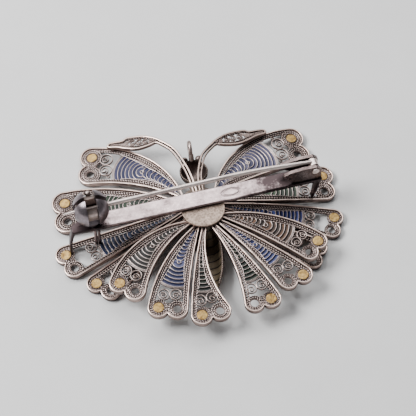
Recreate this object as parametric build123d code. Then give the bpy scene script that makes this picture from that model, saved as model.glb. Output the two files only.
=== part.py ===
"""Filigree butterfly brooch, lying face down with its pin side up.

The frame is in millimetres. +Z points out of the back, through the pin. +Y runs along the body to
the head, +X to the right as seen from the back. The origin is on the surface that the brooch lies
on, under the middle of its outline.
"""
from build123d import *
import os
from math import acos, asin, atan2, cos, hypot, radians, sin, sqrt, tan

os.makedirs("parts", exist_ok=True)

# ---- wire and sheet sizes ----
RIM_WALL = 0.30          # flat wire that edges each petal
RIM_HEIGHT = 0.90
BORDER = 0.50            # twisted border wire inside the rim
LACE_HEIGHT = 0.50       # filigree inside the rim
ENAMEL_HEIGHT = 0.20
ARC_WIRE = 0.14          # cell wires over the enamel
GILT_RADIUS = 0.82
GILT_HEIGHT = 0.66
EYELET_RADIUS = 0.64     # open centre of the plain rosette
SHEET = 0.50

# ---- heights above the resting surface ----
FRONT_ROOT_Z = 2.90      # middle of a front petal at its root
BACK_ROOT_Z = 4.62
BACK_TIP_Z = 3.15
DISC_Z = 5.12            # underside of the backing disc
BAR_Z = DISC_Z + SHEET   # underside of the pin bar

# ---- wings: root, notch, skew of the lobes, width, swell of the gold side, of the plain side ----
FRONT_HUB = (0.0, 2.5)
FRONT_HUB_RADIUS = 3.0
FRONT_RIGHT = (
    ((2.5, 4.2), (18.35, 12.7), 22, 7.3, 35, -8),
    ((3.0, 2.8), (21.35, 4.5), 11, 6.5, 9, 1),
    ((2.9, 1.65), (21.05, -3.5), 6, 5.3, 5, 1),
    ((2.46, 0.75), (17.15, -8.65), -3, 5.5, 1, 1),
)
FRONT_LEFT = (
    ((-2.5, 4.2), (-17.15, 14.3), 23, 7.25, 35, -17),
    ((-3.0, 2.8), (-22.2, 5.8), 10, 7.75, 18, 1),
    ((-2.9, 1.65), (-22.3, -3.75), 7, 6.1, 1, 1),
    ((-2.46, 0.75), (-17.45, -9.5), 17, 5.65, 1, 1),
)
BACK_RIGHT = (
    ((2.65, -1.3), (16.45, -9.0), 16, 5.4, 22, -6),
    ((1.95, -2.15), (12.25, -14.3), 25, 5.55, 6, -7),
    ((1.0, -2.75), (6.5, -17.5), 13, 5.7, 7, -15),
)
BACK_LEFT = (
    ((-2.2, -1.8), (-13.95, -11.65), 11, 6.0, 33, -24),
    ((-1.25, -2.55), (-8.1, -16.5), 13, 6.15, 19, -6),
    ((-0.2, -2.85), (-1.5, -18.35), 12, 6.15, 6, -24),
)
ROOT_HALF = 0.44         # half width of a petal at its root
LOBE_SHARE = 0.272       # lobe radius as a share of the petal's width
ARCH_SHARE = 0.70        # where the enamel ends along a petal
CELL_SHARE = 0.42        # centre of the fish-scale arcs

# ---- backing disc, bar and supports ----
DISC_RADIUS = 3.38
BAR_YAW = 5.4
BAR_OFFSET = 1.47        # the bar's centre line passes the disc's centre on the head side
BAR_WIDTH = 2.8
BAR_THICK = 0.60
BAR_LEFT, BAR_RIGHT = -20.5, 19.3
TAPER_S, END_WIDTH = -18.0, 1.5      # the head-side corner of the left end is cut back
# each leg: its top along the bar, across it, and wide; then its foot likewise, and its height
LEFT_LEG = (BAR_LEFT + 0.25, (END_WIDTH - BAR_WIDTH) / 2, END_WIDTH, -21.05, -1.25, 0.9, 0.98)
RIGHT_LEG = (BAR_RIGHT - 0.25, 0, BAR_WIDTH, 17.9, -0.95, 1.1, 1.50)
LEG_THICK = 0.50
STRUT_RADIUS = 0.24      # pair of wires that props the bar beside the catch
STRUT_GAP = 0.56
STRUT_S, STRUT_SIDE, STRUT_FOOT = -16.7, -1.0, 1.50

# ---- pin and hinge: along the bar, and above the bar's top face ----
PIN_SIDE = 0.20          # pin, hinge and catch sit on the head side of the bar's middle
PIN_RADIUS = 0.36
RIVET_S, RIVET_H = 18.15, 2.25
RIVET_RADIUS, RIVET_HEAD = 0.34, 0.56
EYE_RADIUS, EYE_WIDTH, EYE_CLEARANCE = 0.78, 1.20, 0.05
BRACKET_WIDTH, BRACKET_WALL, BRACKET_FLOOR = 2.6, 0.52, 0.45
BRACKET_SIDE = (
    (15.4, 0), (13.3, 1.5), (12.9, 2.3), (14.2, 2.85), (16.2, 3.1), (18.4, 3.05), (19.15, 2.3), (19.15, 0)
)
PIN_CREST_S, PIN_CREST_H = 8.0, 3.95
PIN_CREST_BEND = 70.0
PIN_NECK_S, PIN_NECK_H = 17.75, 2.84
PIN_TIP_S, PIN_TIP_H = -21.3, 3.32
PIN_TAPER = ((0.0, 0.07), (1.9, 0.27), (8.5, PIN_RADIUS))   # distance from the tip, radius

# ---- ball catch ----
CATCH_S, CATCH_H = -17.1, 3.41
BALL_RADIUS = 2.85
BALL_LENGTH = 5.6
CATCH_BORE = 1.20
MOUTH_WIDTH = 0.74
WINDOW_WIDTH = 1.70
BRIDGE_HALF_ANGLE = 34.0
PEDESTAL_RADIUS, PEDESTAL_HEIGHT = 1.25, 1.15
TUBE_RADIUS, TUBE_BORE, TUBE_LENGTH = 1.13, 0.54, 4.40
COLLAR_RADIUS, COLLAR_WIDTH = 1.95, 1.50
ROTOR_MOUTH = (42.0, 101.0)          # wide opening of the rotor, in degrees up from the tail side
KNOB_RADIUS, KNOB_REACH, KNOB_ANGLE = 0.46, 2.30, 138.0

# ---- body ----
HUB_FOOT, HUB_HEIGHT = 2.45, 0.90
HUB_POST_Y, HUB_POST_RADIUS = 1.25, 1.2
NECK_WIDTH, NECK_END, NECK_HEIGHT = 2.4, 7.3, 0.5
THORAX_RADIUS, THORAX_DEPTH = 3.05, 1.55
SHELL_WALL = 0.34
HEAD_Y, HEAD_Z, HEAD_RADIUS = 9.1, 2.62, 2.28
EYE_BEAD, EYE_BEAD_X, EYE_BEAD_Y, EYE_BEAD_Z = 0.58, 1.15, 11.25, 2.85
LOOP_RING, LOOP_WIRE, LOOP_Y, LOOP_Z = 1.08, 0.30, 13.05, 3.40
# places along the body, and the abdomen's radius there
ABDOMEN_SHAPE = ((-0.6, 1.35), (-3.2, 1.95), (-6.2, 2.08), (-9.6, 1.55), (-12.3, 0.55))

# ---- antennae: stem points (across, along the body, height), then the leaf's root and point ----
STEM_RADIUS = 0.30
LEFT_STEM = ((-0.5, 2.5, 4.6), (-0.95, 6.6, 4.6), (-1.7, 9.8, 4.4), (-2.95, 13.0, 4.1), (-5.1, 15.3, 3.8))
RIGHT_STEM = ((0.35, 2.5, 4.6), (0.5, 6.3, 4.6), (1.15, 9.0, 4.4), (2.1, 11.2, 4.15), (4.2, 13.35, 3.8))
LEFT_LEAF = ((-5.0, 15.2, 3.8), (-12.9, 16.5, 2.3))
RIGHT_LEAF = ((4.1, 13.25, 3.8), (12.8, 15.2, 2.3))
LEAF_WIDTH, LEAF_HEIGHT, LEAF_WALL, LEAF_HOLES = 2.6, 0.55, 0.26, 6

# ---- middle and lowest point of the brooch's outline, brought to the origin ----
MIDDLE = (-0.683, -0.803, 0.003)


def side_arc(root, lobe, lobe_radius, swell):
    """A petal side, from its root to the lobe circle that it runs into: (start, middle, end)."""
    leave = atan2(lobe[1] + lobe_radius - root[1], lobe[0] - root[0])
    for _ in range(8):
        end = (lobe[0] - lobe_radius * sin(leave), lobe[1] + lobe_radius * cos(leave))
        slope = atan2(end[1] - root[1], end[0] - root[0])
        leave = slope - radians(swell)
    rise = hypot(end[0] - root[0], end[1] - root[1]) / 2 * tan(radians(swell) / 2)
    middle = ((root[0] + end[0]) / 2 - rise * sin(slope), (root[1] + end[1]) / 2 + rise * cos(slope))
    return root, middle, end


def lobe_places(reach, width):
    """Lobe radius, and the lobe centres' places along and across the petal."""
    radius = width * LOBE_SHARE
    across = width / 2 - radius
    return radius, reach - sqrt(radius**2 - across**2), across


def petal_sides(reach, shift, width, gold_swell, plain_swell):
    """Both long edges of a petal, each as its start, its middle and its end."""
    radius, along, across = lobe_places(reach, width)
    gold = side_arc((0, ROOT_HALF + shift), (along, across), radius, gold_swell)
    plain = side_arc((0, ROOT_HALF - shift), (along, across), radius, plain_swell)
    return gold, [(x, -y) for x, y in plain]


def petal_outline(reach, shift, width, gold_swell, plain_swell):
    """Two-lobed petal on XY: notch at (reach, 0), root at (0, shift), gold lobe on the +Y side."""
    radius, along, across = lobe_places(reach, width)
    gold, plain = petal_sides(reach, shift, width, gold_swell, plain_swell)
    cap = (along + radius * cos(radians(20)), across + radius * sin(radians(20)))
    edges = [
        Line(plain[0], gold[0]),
        ThreePointArc(*gold),
        ThreePointArc(gold[2], cap, (reach, 0)),
        ThreePointArc((reach, 0), (cap[0], -cap[1]), plain[2]),
        ThreePointArc(plain[2], plain[1], plain[0]),
    ]
    return make_face(Wire(edges))


def ring(radius, wall):
    return Circle(radius) - Circle(radius - wall)


def slab(face, height, foot=None):
    """face made height thick, about XY or standing on foot."""
    foot = -height / 2 if foot is None else foot
    return Pos(0, 0, foot) * extrude(face, height)


def cell_arcs(field, middle, arch, reach, spine):
    """Fish-scale wires: arcs round the cell centre, then a chain of small ones to the root."""
    pitch = 0.78
    tipward = Pos(middle + reach / 2, 0) * Rectangle(reach, 2 * reach)
    arcs = [Pos(middle, spine(middle)) * ring(0.42, ARC_WIRE)]
    radius = 0.42 + pitch
    while radius < arch - 0.3:
        arcs.append(Pos(middle, spine(middle)) * ring(radius, ARC_WIRE) & tipward)
        radius += pitch
    place = middle - 0.55
    while place > 2.6:
        half = 0.95 * place / reach + 0.25
        window = Pos(place - half / 4, spine(place)) * Rectangle(1.5 * half, 3 * half)
        arcs.append(Pos(place - half, spine(place)) * ring(half + ARC_WIRE, ARC_WIRE) & window)
        place -= 0.95
    return Sketch() + arcs & field


def petal_solids(reach, shift, width, gold_swell, plain_swell):
    """Rim, lace, enamel and gilt disc of one petal, in the petal's own frame."""
    sides = petal_sides(reach, shift, width, gold_swell, plain_swell)
    half_x, half_y = ((sides[0][1][k] + sides[1][1][k]) / 2 for k in (0, 1))
    bow = half_y - shift * (1 - half_x / reach) ** 2

    def spine(x):
        """Middle line, from the root at (0, shift) to the notch."""
        return shift * (1 - x / reach) ** 2 + 4 * bow * x / reach * (1 - x / reach)

    outline = petal_outline(reach, shift, width, gold_swell, plain_swell)
    inside = offset(outline, amount=-RIM_WALL)
    core = offset(outline, amount=-(RIM_WALL + BORDER))
    radius, along, across = lobe_places(reach, width)
    middle, arch = CELL_SHARE * reach, (ARCH_SHARE - CELL_SHARE) * reach
    rootward = Pos(middle - reach / 2, 0) * Rectangle(reach, 4 * width)
    field = core & (rootward + Pos(middle, spine(middle)) * Circle(arch))
    lobes = [Pos(along, side * across) * Circle(radius - RIM_WALL + 0.05) for side in (1, -1)]
    scroll = 0.135 * width
    scroll_x = middle + arch + 0.16 + scroll
    curl = ring(scroll, 0.17) + Pos(0.3 * scroll, 0) * ring(0.62 * scroll, 0.15)
    curls = [Pos(scroll_x, spine(scroll_x) + side * 1.06 * scroll) * curl for side in (1, -1)]
    gate = ring(arch + 0.22, 0.22) & Pos(reach / 2 + 0.4, 0) * Rectangle(reach, 2 * width)
    gate = Pos(middle, spine(middle)) * gate
    gold_seat = Pos(along, across) * Circle(GILT_RADIUS)
    eyelet = Pos(along, -across) * Circle(EYELET_RADIUS)
    fill = (Sketch() + lobes + curls + gate) & inside
    lace = (inside - core) + fill - field - gold_seat - eyelet
    arcs = cell_arcs(field, middle, arch, reach, spine)
    step = (LACE_HEIGHT - ENAMEL_HEIGHT) / 2
    cell_wires = slab(arcs, step, ENAMEL_HEIGHT / 2) + slab(arcs, step, -LACE_HEIGHT / 2)
    return {
        "rim": slab(outline - inside, RIM_HEIGHT),
        "lace": slab(lace, LACE_HEIGHT) + cell_wires,
        "enamel": slab(field, ENAMEL_HEIGHT),
        "gilt": slab(gold_seat, GILT_HEIGHT),
        "blank": slab(outline, RIM_HEIGHT),
    }


def petal_rows():
    """One row for each petal: its name, its place and the sizes of its flat shape."""
    rows = []
    for layer, side, petals in (
        ("front", "right", FRONT_RIGHT),
        ("front", "left", FRONT_LEFT),
        ("back", "right", BACK_RIGHT),
        ("back", "left", BACK_LEFT),
    ):
        hand = 1 if side == "right" else -1
        for number, (root, notch, skew, width, gold_swell, plain_swell) in enumerate(petals, 1):
            chord = hypot(notch[0] - root[0], notch[1] - root[1])
            reach, shift = chord * cos(radians(skew)), -chord * sin(radians(skew))
            bearing = atan2(notch[1] - root[1], notch[0] - root[0]) - hand * radians(skew)
            lobe, along, _ = lobe_places(reach, width)
            if layer == "front":
                height = FRONT_ROOT_Z
                fall = asin((FRONT_ROOT_Z - RIM_HEIGHT / 2) / (along + lobe))
            else:
                height = BACK_ROOT_Z
                fall = asin((BACK_ROOT_Z - BACK_TIP_Z) / reach)
            # the frame's origin is on the lobes' axis, abreast of the root
            across = (-hand * sin(bearing), hand * cos(bearing))
            origin = (root[0] - shift * across[0], root[1] - shift * across[1], height)
            flat = (reach, shift, width, gold_swell, plain_swell)
            rows.append((f"{layer}_{side}_{number}", hand, petal_place(origin, fall, bearing), flat))
    return rows


def petal_place(origin, fall, bearing):
    """Place of a petal that points along bearing and falls towards its tip."""
    along = (cos(bearing) * cos(fall), sin(bearing) * cos(fall), -sin(fall))
    up = (cos(bearing) * sin(fall), sin(bearing) * sin(fall), cos(fall))
    return Plane(origin, x_dir=along, z_dir=up).location


def build_petals():
    """Rim, lace and enamel nodes of every petal, one node of gilt discs, and the blanks."""
    nodes, gilt, blanks = {}, [], []
    for name, hand, place, flat in petal_rows():
        solids = petal_solids(*flat)
        if hand < 0:
            solids = {kind: mirror(solid, about=Plane.XZ) for kind, solid in solids.items()}
        for kind in ("rim", "lace", "enamel"):
            nodes[f"petal_{name}_{kind}"] = place * solids[kind]
        gilt.append(place * solids["gilt"])
        blanks.append(place * solids["blank"])
    nodes["gilt_discs"] = Compound(gilt)
    return nodes, blanks


# ---- backing disc and bar ----
def bar_place(height):
    """Frame on the bar: X runs along it to the hinge, Y to the head, from the disc's middle."""
    b = radians(BAR_YAW)
    return Pos(-BAR_OFFSET * sin(b), BAR_OFFSET * cos(b), height) * Rot(0, 0, BAR_YAW)


def build_disc():
    disc = Pos(0, 0, DISC_Z) * extrude(Circle(DISC_RADIUS), SHEET)
    return chamfer(disc.edges().filter_by(GeomType.CIRCLE).sort_by(Axis.Z)[-1], 0.12)


def leg(top_s, top_side, top_width, foot_s, foot_side, foot_width, foot_z):
    """Tapered leg folded down from a bar end to a petal, in the bar's frame at height zero."""
    top = Pos(top_s, top_side, BAR_Z) * Rectangle(LEG_THICK, top_width)
    foot = Pos(foot_s, foot_side, foot_z) * Rectangle(0.6 * LEG_THICK, foot_width)
    return loft([foot, top])


def build_bar():
    half = BAR_WIDTH / 2
    corner = (BAR_LEFT, END_WIDTH - half)
    outline = make_face(Polyline(
        (BAR_LEFT, -half), (BAR_RIGHT, -half), (BAR_RIGHT, half), (TAPER_S, half), corner, close=True
    ))
    bar = Pos(0, 0, BAR_Z) * extrude(fillet(outline.vertices(), 0.3), BAR_THICK)
    struts = [
        Pos(STRUT_S + side * STRUT_GAP / 2, STRUT_SIDE, STRUT_FOOT)
        * extrude(Circle(STRUT_RADIUS), BAR_Z - STRUT_FOOT + 0.1)
        for side in (-1, 1)
    ]
    return bar_place(0) * (bar + leg(*LEFT_LEG) + leg(*RIGHT_LEG) + struts)


# ---- hinge and pin, in a frame on the bar's top face ----
def top_place():
    return bar_place(BAR_Z + BAR_THICK) * Pos(0, PIN_SIDE, 0)


def across(face, width, middle=0):
    """A face drawn along and above the bar, made width thick across the bar."""
    return Pos(0, middle + width / 2, 0) * extrude(Plane.XZ * face, width)


def build_bracket():
    side = make_face(Polyline(*BRACKET_SIDE, close=True))
    side = fillet(side.vertices().filter_by_position(Axis.Y, 0.5, 4), 0.35)
    side -= Pos(RIVET_S, RIVET_H) * Circle(RIVET_RADIUS)
    half = (BRACKET_WIDTH - BRACKET_WALL) / 2
    start, end = BRACKET_SIDE[0][0] + 0.1, BRACKET_SIDE[-1][0]
    floor = Pos((start + end) / 2, BRACKET_FLOOR / 2) * Rectangle(end - start, BRACKET_FLOOR)
    cheeks = across(side, BRACKET_WALL, half) + across(side, BRACKET_WALL, -half)
    return top_place() * (cheeks + across(floor, BRACKET_WIDTH - BRACKET_WALL))


def build_rivet():
    shank = across(Circle(RIVET_RADIUS), BRACKET_WIDTH)
    heads = [across(Circle(RIVET_HEAD), 0.2, side * (BRACKET_WIDTH / 2 + 0.1)) for side in (-1, 1)]
    return top_place() * Pos(RIVET_S, 0, RIVET_H) * (shank + heads)


def build_pin():
    """Wire pin: pointed straight length, wide bend over the body, eye round the rivet."""
    tip, crest = Vector(PIN_TIP_S, 0, PIN_TIP_H), Vector(PIN_CREST_S, 0, PIN_CREST_H)
    neck = Vector(PIN_NECK_S, 0, PIN_NECK_H)
    rise, drop = (crest - tip).normalized(), (neck - crest).normalized()
    turn = acos(rise.dot(drop))
    tangent = PIN_CREST_BEND * tan(turn / 2)
    start, end = crest - rise * tangent, crest + drop * tangent
    middle = crest + (drop - rise).normalized() * PIN_CREST_BEND * (1 / cos(turn / 2) - 1)
    reach = (start - tip).length
    profile = Polyline((0, 0), *[(r, d) for d, r in PIN_TAPER], (PIN_RADIUS, reach), (0, reach), close=True)
    straight = revolve(make_face(Plane.XZ * profile), Axis.Z)
    straight = Plane(tip, x_dir=(0, 1, 0), z_dir=rise).location * straight
    bend = Wire([ThreePointArc(start, middle, end), Line(end, neck)])
    wire = sweep(Plane(start, z_dir=rise) * Circle(PIN_RADIUS), path=bend)
    eye = Pos(RIVET_S, 0, RIVET_H) * across(Circle(EYE_RADIUS), EYE_WIDTH)
    bore = Pos(RIVET_S, 0, RIVET_H) * across(Circle(RIVET_RADIUS + EYE_CLEARANCE), 2 * EYE_WIDTH)
    return top_place() * (straight + wire + eye - bore)


# ---- ball catch, turned on an axis along the bar ----
def along_bar(face, length):
    """A face drawn across and above the bar, made length long about the catch's middle."""
    return Pos(-length / 2, 0, 0) * extrude(Plane.YZ * face, length)


def wedge(first, last, reach):
    """Face between two bearings, in degrees up from the tail side (the -Y side)."""
    points = [(-reach * cos(radians(a)), reach * sin(radians(a))) for a in (first, (first + last) / 2, last)]
    return make_face(Polyline((0, 0), *points, close=True))


def catch_place():
    return top_place() * Pos(CATCH_S, 0, CATCH_H)


def build_catch_housing():
    ball = Sphere(BALL_RADIUS) & along_bar(Circle(BALL_RADIUS + 1), BALL_LENGTH)
    ball += Pos(0, 0, -CATCH_H) * extrude(Circle(PEDESTAL_RADIUS), PEDESTAL_HEIGHT)
    ball -= along_bar(Circle(CATCH_BORE), 2 * BALL_RADIUS)
    ball -= Pos(0, 0, BALL_RADIUS) * Box(4 * BALL_RADIUS, MOUTH_WIDTH, 2 * BALL_RADIUS)
    low, high = 270 - BRIDGE_HALF_ANGLE, 270 + BRIDGE_HALF_ANGLE
    bridge = wedge(low, high, 2 * CATCH_H) - Circle(COLLAR_RADIUS + 0.09)
    return catch_place() * (ball - along_bar(Circle(BALL_RADIUS + 0.2) - bridge, WINDOW_WIDTH))


def build_catch_rotor():
    rotor = along_bar(Circle(TUBE_RADIUS), TUBE_LENGTH) + along_bar(Circle(COLLAR_RADIUS), COLLAR_WIDTH)
    knob = (-KNOB_REACH * cos(radians(KNOB_ANGLE)), KNOB_REACH * sin(radians(KNOB_ANGLE)))
    rotor += Pos(0, *knob) * Sphere(KNOB_RADIUS)
    mouth = wedge(*ROTOR_MOUTH, 3) + Pos(0, 1.5) * Rectangle(MOUTH_WIDTH, 3)
    return catch_place() * (rotor - along_bar(Circle(TUBE_BORE) + mouth, 2 * TUBE_LENGTH))


# ---- body, under the wings ----
def build_hub(blanks):
    """Plate that the front petals butt against, post to the backing disc, and neck to the head."""
    plate = Pos(*FRONT_HUB, HUB_FOOT) * extrude(Circle(FRONT_HUB_RADIUS), HUB_HEIGHT)
    post = Pos(0, HUB_POST_Y, HUB_FOOT) * extrude(Circle(HUB_POST_RADIUS), DISC_Z - HUB_FOOT)
    start = FRONT_HUB[1] + FRONT_HUB_RADIUS - 0.4
    neck_middle = Pos(0, (start + NECK_END) / 2, HEAD_Z + NECK_HEIGHT / 2)
    neck = neck_middle * Box(NECK_WIDTH, NECK_END - start, NECK_HEIGHT)
    return plate + post + neck - blanks


def below(height):
    return Pos(0, 0, height - 20) * Box(60, 60, 40)


def build_thorax():
    radius = (THORAX_RADIUS**2 + THORAX_DEPTH**2) / (2 * THORAX_DEPTH)
    dome = Pos(*FRONT_HUB, HUB_FOOT - THORAX_DEPTH + radius) * (Sphere(radius) - Sphere(radius - SHELL_WALL))
    return dome & below(HUB_FOOT)


def build_head():
    shell = Pos(0, HEAD_Y, HEAD_Z) * (Sphere(HEAD_RADIUS) - Sphere(HEAD_RADIUS - SHELL_WALL)) & below(HEAD_Z)
    for side in (-1, 1):
        shell += Pos(side * EYE_BEAD_X, EYE_BEAD_Y, EYE_BEAD_Z) * Sphere(EYE_BEAD)
    return shell


def build_head_loop():
    loop = Pos(0, LOOP_Y, LOOP_Z) * Rot(0, 90, 0) * Torus(LOOP_RING, LOOP_WIRE)
    foot = (0, HEAD_Y + HEAD_RADIUS - 0.25, HEAD_Z + 0.05)
    root = (0, LOOP_Y - LOOP_RING, LOOP_Z)
    stalk = sweep(Plane(foot, z_dir=Vector(*root) - Vector(*foot)) * Circle(0.42), path=Line(foot, root))
    return loop + stalk - build_head()


def build_abdomen():
    """Open-backed shell: half of a turned shape along the body."""
    def turned(points):
        start, end = points[0][0], points[-1][0]
        curve = Spline(*[(r, y) for y, r in points])
        last, first = points[-1][1], points[0][1]
        sides = Polyline((last, end), (0, end), (0, start), (first, start))
        return revolve(make_face(Wire([curve, *sides.edges()])), Axis.Y)

    inner = [(y, r - SHELL_WALL) for y, r in ABDOMEN_SHAPE]
    inner[0] = (ABDOMEN_SHAPE[0][0] - SHELL_WALL, inner[0][1] + 0.1)
    inner[-1] = (ABDOMEN_SHAPE[-1][0] + SHELL_WALL, inner[-1][1] + 0.1)
    return Pos(0, 0, HUB_FOOT) * (turned(ABDOMEN_SHAPE) - turned(inner)) & below(HUB_FOOT)


# ---- antennae ----
def leaf_solids(root, point):
    """Rim and lace of an antenna leaf: a pointed oval with a row of holes."""
    start, end = Vector(*root), Vector(*point)
    length = (end - start).length
    half = LEAF_WIDTH / 2
    outline = make_face(Wire([
        ThreePointArc((0, 0), (0.5 * length, half), (length, 0)),
        ThreePointArc((length, 0), (0.5 * length, -half), (0, 0)),
    ]))
    inside = offset(outline, amount=-LEAF_WALL)
    lace = inside
    for step in range(1, LEAF_HOLES + 1):
        share = step / (LEAF_HOLES + 1)
        room = 4 * share * (1 - share) * half - LEAF_WALL
        lace -= Pos(share * length, 0) * Circle(min(0.55 * room, 0.36))
    along = (end - start).normalized()
    place = Plane(start, x_dir=along, z_dir=Vector(0, 0, 1) - along * along.Z).location
    rim = place * slab(outline - inside, LEAF_HEIGHT)
    return rim, place * slab(lace, 0.6 * LEAF_HEIGHT) - rim


def build_antennae():
    nodes, laces = {}, []
    for side, stem, leaf in (("left", LEFT_STEM, LEFT_LEAF), ("right", RIGHT_STEM, RIGHT_LEAF)):
        path = Spline(*stem)
        rod = sweep(Plane(path @ 0, z_dir=path % 0) * Circle(STEM_RADIUS), path=path)
        rim, lace = leaf_solids(*leaf)
        nodes[f"antenna_{side}"] = rod + rim
        laces.append(lace - rod)
    nodes["antenna_lace"] = Compound(laces)
    return nodes


def build_all():
    nodes, blanks = build_petals()
    nodes.update(build_antennae())
    nodes["backing_disc"] = build_disc()
    nodes["pin_bar"] = build_bar()
    nodes["hinge_bracket"] = build_bracket()
    nodes["hinge_rivet"] = build_rivet()
    nodes["pin_stem"] = build_pin()
    nodes["catch_housing"] = build_catch_housing()
    nodes["catch_rotor"] = build_catch_rotor()
    nodes["centre_hub"] = build_hub(blanks)
    nodes["thorax"] = build_thorax()
    nodes["abdomen"] = build_abdomen()
    nodes["head"] = build_head()
    nodes["head_loop"] = build_head_loop()
    return nodes


for node, shape in build_all().items():
    export_step(Pos(-Vector(MIDDLE)) * shape, f"parts/{node}.step")
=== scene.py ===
"""Filigree butterfly brooch, face down on a pale floor, its wires and enamel modelled in full."""

import bpy
import numpy as np
from math import asin, atan2, cos, hypot, pi, radians, sin, sqrt, tan
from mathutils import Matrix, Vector


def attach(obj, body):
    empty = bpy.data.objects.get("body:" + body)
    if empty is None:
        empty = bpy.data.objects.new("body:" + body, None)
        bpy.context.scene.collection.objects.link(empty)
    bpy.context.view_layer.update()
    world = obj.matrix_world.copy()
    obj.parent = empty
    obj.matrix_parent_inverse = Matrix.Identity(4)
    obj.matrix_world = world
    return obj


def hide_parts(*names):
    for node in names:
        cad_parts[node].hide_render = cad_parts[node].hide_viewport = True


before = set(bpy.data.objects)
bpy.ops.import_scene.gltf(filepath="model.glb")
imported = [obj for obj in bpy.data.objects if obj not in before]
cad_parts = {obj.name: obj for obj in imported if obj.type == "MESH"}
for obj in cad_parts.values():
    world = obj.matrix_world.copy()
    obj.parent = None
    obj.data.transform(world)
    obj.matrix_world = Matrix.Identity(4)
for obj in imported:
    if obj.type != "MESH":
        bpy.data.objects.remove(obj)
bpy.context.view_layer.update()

MM = 0.001
MIDDLE = np.array((-0.683, -0.803, 0.003))   # origin of the frame, seen from the backing disc's centre

# ---- wing sizes, in millimetres, as in the solid model ----
RIM_WALL, RIM_HEIGHT = 0.27, 0.90
ROPE, ROPE_HEIGHT, ROPE_PITCH = 0.34, 0.46, 0.42
CROWN = 1.6                     # tone of a thin wire's rubbed crown
GILT_RADIUS, EYELET_RADIUS = 0.82, 0.64
FRONT_ROOT_Z, BACK_ROOT_Z, BACK_TIP_Z = 2.90, 4.62, 3.15
ROOT_HALF, LOBE_SHARE, ARCH_SHARE, CELL_SHARE = 0.44, 0.272, 0.70, 0.42
# each petal: root, notch between its lobes, skew of the lobes in degrees, width, and the swell in degrees
# of its gilt side and of its plain side
WINGS = {
    ("front", "right"): (
        ((2.5, 4.2), (18.35, 12.7), 22, 7.3, 35, -8),
        ((3.0, 2.8), (21.35, 4.5), 11, 6.5, 9, 1),
        ((2.9, 1.65), (21.05, -3.5), 6, 5.3, 5, 1),
        ((2.46, 0.75), (17.15, -8.65), -3, 5.5, 1, 1),
    ),
    ("front", "left"): (
        ((-2.5, 4.2), (-17.15, 14.3), 23, 7.25, 35, -17),
        ((-3.0, 2.8), (-22.2, 5.8), 10, 7.75, 18, 1),
        ((-2.9, 1.65), (-22.3, -3.75), 7, 6.1, 1, 1),
        ((-2.46, 0.75), (-17.45, -9.5), 17, 5.65, 1, 1),
    ),
    ("back", "right"): (
        ((2.65, -1.3), (16.45, -9.0), 16, 5.4, 22, -6),
        ((1.95, -2.15), (12.25, -14.3), 25, 5.55, 6, -7),
        ((1.0, -2.75), (6.5, -17.5), 13, 5.7, 7, -15),
    ),
    ("back", "left"): (
        ((-2.2, -1.8), (-13.95, -11.65), 11, 6.0, 33, -24),
        ((-1.25, -2.55), (-8.1, -16.5), 13, 6.15, 19, -6),
        ((-0.2, -2.85), (-1.5, -18.35), 12, 6.15, 6, -24),
    ),
}
# enamel of each petal: its deep colour and its light one
ENAMEL = {
    "front_left_1": ((0.0096, 0.0125, 0.048), (0.058, 0.058, 0.116)),
    "front_right_1": ((0.0106, 0.0125, 0.0408), (0.102, 0.094, 0.158)),
    "front_left_2": ((0.0019, 0.0058, 0.0029), (0.024, 0.053, 0.024)),
    "front_right_2": ((0.0019, 0.0058, 0.0029), (0.032, 0.064, 0.026)),
    "front_left_3": ((0.0014, 0.0029, 0.0125), (0.029, 0.048, 0.128)),
    "front_right_3": ((0.0032, 0.0056, 0.032), (0.073, 0.088, 0.239)),
    "front_left_4": ((0.0019, 0.0019, 0.0019), (0.029, 0.022, 0.018)),
    "front_right_4": ((0.0029, 0.0019, 0.0014), (0.051, 0.029, 0.018)),
    "back_left_1": ((0.004, 0.0032, 0.0024), (0.028, 0.021, 0.015)),
    "back_left_2": ((0.0034, 0.0053, 0.0264), (0.086, 0.093, 0.186)),
    "back_left_3": ((0.001, 0.0019, 0.0014), (0.006, 0.013, 0.006)),
    "back_right_1": ((0.0064, 0.0032, 0.0024), (0.123, 0.054, 0.024)),
    "back_right_2": ((0.0032, 0.0048, 0.0272), (0.046, 0.059, 0.168)),
    "back_right_3": ((0.001, 0.0019, 0.001), (0.005, 0.017, 0.007)),
}

# ---- bar, pin and catch ----
BAR_YAW, BAR_OFFSET, BAR_Z, BAR_THICK, BAR_WIDTH = 5.4, 1.47, 5.62, 0.60, 2.8
BAR_LEFT, BAR_RIGHT = -20.5, 19.3
TAPER_S, END_WIDTH = -18.0, 1.5
TOP_Z = BAR_Z + BAR_THICK
LEFT_STEM = ((-0.5, 2.5, 4.6), (-0.95, 6.6, 4.6), (-1.7, 9.8, 4.4), (-2.95, 13.0, 4.1), (-5.1, 15.3, 3.8))
RIGHT_STEM = ((0.35, 2.5, 4.6), (0.5, 6.3, 4.6), (1.15, 9.0, 4.4), (2.1, 11.2, 4.15), (4.2, 13.35, 3.8))
LEFT_LEAF = ((-5.0, 15.2, 3.8), (-12.9, 16.5, 2.3))
RIGHT_LEAF = ((4.1, 13.25, 3.8), (12.8, 15.2, 2.3))
HUB_FOOT = 2.45
ABDOMEN_SHAPE = ((-0.6, 1.35), (-3.2, 1.95), (-6.2, 2.08), (-9.6, 1.55), (-12.3, 0.55))
HEAD = (0.0, 9.1, 2.62)
HEAD_RADIUS, SHELL_WALL = 2.28, 0.34


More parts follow.
